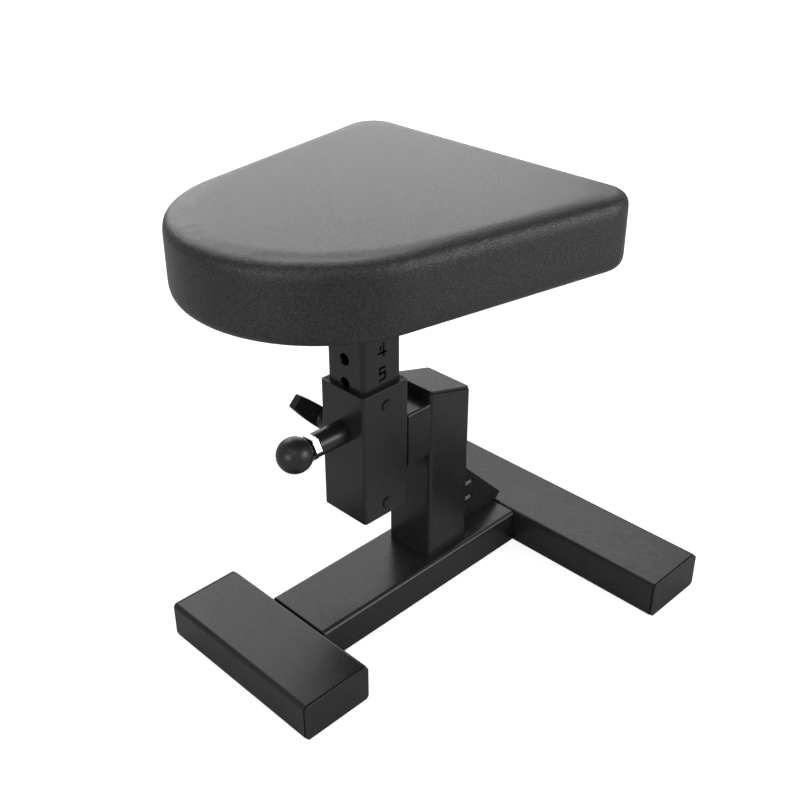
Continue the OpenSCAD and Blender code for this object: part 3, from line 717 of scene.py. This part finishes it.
def seat_cushion():
    """The foam in its vinyl cover, hollow for the board and folded in under its edge."""
    low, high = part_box("seat_pad")
    board_low, board_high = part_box("seat_board")
    start_top = high.z - PAD_CROWN
    foot = board_low.z - HEM_THICKNESS
    pad = pad_block("vinyl_cushion", 0, foot, start_top)
    round_rim(pad, start_top, PAD_TOP_ROUND, 6)
    round_rim(pad, foot, PAD_BOTTOM_ROUND, 5)
    pad.data.remesh_voxel_size = PAD_VOXEL
    pick(pad)
    bpy.ops.object.voxel_remesh()
    swell(pad)
    relax = pad.modifiers.new("relax", "SMOOTH")
    relax.factor = 0.5
    relax.iterations = 1
    finer = pad.modifiers.new("finer", "SUBSURF")
    finer.levels = 1
    finer.render_levels = 1
    apply_modifiers(pad)
    cut(pad, pad_block("pocket", BOARD_MARGIN - POCKET_GAP, board_low.z, board_high.z + POCKET_GAP))
    cut(pad, pad_block("opening", BOARD_MARGIN + HEM_WIDTH, low.z - 5 * MM, board_low.z + POCKET_GAP))
    smooth(pad, 50)
    finish_piece(pad, "seat", "pad_vinyl", vinyl, "seat_pad")


def staple_row():
    """Staples all round, through the cover's folded edge into the board."""
    low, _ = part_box("seat_board")
    under = low.z - HEM_THICKNESS
    line = pad_block("staple_line", BOARD_MARGIN + HEM_WIDTH * STAPLE_LINE, under, low.z)
    edge = sorted(
        ((v.co.x, v.co.y) for v in line.data.vertices if v.co.z < low.z - 0.5 * HEM_THICKNESS),
        key=lambda place: math.atan2(place[1] - STAPLE_START_Y, place[0])
    )
    bpy.data.objects.remove(line)
    staples = []
    ahead = STAPLE_STEP / 2
    for first, last in zip(edge, edge[1:] + edge[:1]):
        run = math.dist(first, last)
        while ahead < run:
            share = ahead / run
            along, across = last[0] - first[0], last[1] - first[1]
            staple = add_block("staple", [-size / 2 for size in STAPLE], [size / 2 for size in STAPLE])
            staple.rotation_euler = (0, 0, math.atan2(across, along))
            staple.location = (first[0] + along * share, first[1] + across * share, under)
            staples.append(settle(staple))
            ahead += STAPLE_STEP
        ahead -= run
    row = join(staples)
    row.name = "staple_row"
    ease_edges(row, STAPLE_EDGE)
    finish_piece(row, "seat", "spring_steel", wire)


dress_frame_nodes()
steelwork()
end_caps()
sleeve_guides()
ball_knob()
plunger_body()
plunger_spring()
winged_knob()
clamp_screw()
seat_fixings()
seat_cushion()
staple_row()


def add_camera():
    data = bpy.data.cameras.new("photo_camera")
    data.lens = CAMERA_LENS
    data.sensor_width = SENSOR_WIDTH
    camera = bpy.data.objects.new("photo_camera", data)
    camera.location = CAMERA_PLACE
    camera.rotation_euler = (math.radians(90 - CAMERA_ELEVATION), 0, math.radians(CAMERA_AZIMUTH))
    bpy.context.collection.objects.link(camera)
    bpy.context.scene.camera = camera


def add_softbox(name, azimuth, elevation, width, height, radiance):
    """A lamp panel that looks at the seat from a direction, seen only by its light."""
    data = bpy.data.lights.new(name, "AREA")
    data.shape = "RECTANGLE"
    data.size = width
    data.size_y = height
    data.energy = radiance * math.pi * width * height
    lamp = bpy.data.objects.new(name, data)
    a, e = math.radians(azimuth), math.radians(elevation)
    back = Vector((math.sin(a) * math.cos(e), -math.cos(a) * math.cos(e), math.sin(e)))
    lamp.location = Vector(LAMP_AIM) + back * LAMP_DISTANCE
    lamp.rotation_euler = back.to_track_quat("Z", "Y").to_euler()
    lamp.visible_camera = False
    bpy.context.collection.objects.link(lamp)


def ray_share(tree, mirrored):
    """1 for camera and glass rays, a lower value for mirrored ones, 0 for light that lands on surfaces."""
    path = tree.nodes.new("ShaderNodeLightPath")
    direct = tree.nodes.new("ShaderNodeMath")
    direct.operation = "MAXIMUM"
    tree.links.new(path.outputs["Is Camera Ray"], direct.inputs[0])
    tree.links.new(path.outputs["Is Transmission Ray"], direct.inputs[1])
    dimmed = tree.nodes.new("ShaderNodeMath")
    dimmed.operation = "MULTIPLY"
    dimmed.inputs[1].default_value = mirrored
    tree.links.new(path.outputs["Is Glossy Ray"], dimmed.inputs[0])
    share = tree.nodes.new("ShaderNodeMath")
    share.operation = "MAXIMUM"
    tree.links.new(direct.outputs["Value"], share.inputs[0])
    tree.links.new(dimmed.outputs["Value"], share.inputs[1])
    return share.outputs["Value"]


def add_world():
    """White behind the object, mirrored as a pale studio, and an even dimmer light on surfaces."""
    world = bpy.data.worlds.new("studio")
    world.use_nodes = True
    bpy.context.scene.world = world
    tree = world.node_tree
    background = tree.nodes["Background"]
    background.inputs["Color"].default_value = (1, 1, 1, 1)
    strength = tree.nodes.new("ShaderNodeMapRange")
    strength.inputs["To Min"].default_value = WORLD_LIGHT
    strength.inputs["To Max"].default_value = 1.0
    tree.links.new(ray_share(tree, WORLD_MIRRORED), strength.inputs["Value"])
    tree.links.new(strength.outputs["Result"], background.inputs["Strength"])


def add_floor():
    """A pale floor that keeps the object's shadow and meets the white around it."""
    deselect()
    bpy.ops.mesh.primitive_plane_add(size=FLOOR_SIZE, location=(0, 0, -FLOOR_DROP))
    floor = settle(named("studio_floor"))
    material = bpy.data.materials.new("pale_floor")
    material.use_nodes = True
    tree = material.node_tree
    shader = tree.nodes["Principled BSDF"]
    shader.inputs["Base Color"].default_value = (*grey(FLOOR_GREY), 1)
    shader.inputs["Roughness"].default_value = 0.9
    shader.inputs["Specular IOR Level"].default_value = 0.2
    shader.inputs["Emission Color"].default_value = (1, 1, 1, 1)
    glow = tree.nodes.new("ShaderNodeMath")
    glow.operation = "MULTIPLY"
    glow.inputs[1].default_value = FLOOR_GLOW
    tree.links.new(ray_share(tree, FLOOR_MIRRORED), glow.inputs[0])
    tree.links.new(glow.outputs["Value"], shader.inputs["Emission Strength"])
    floor.data.materials.append(material)


add_camera()
add_world()
add_floor()
for lamp_panel in LAMPS:
    add_softbox(*lamp_panel)
bpy.context.scene.view_settings.view_transform = "Standard"
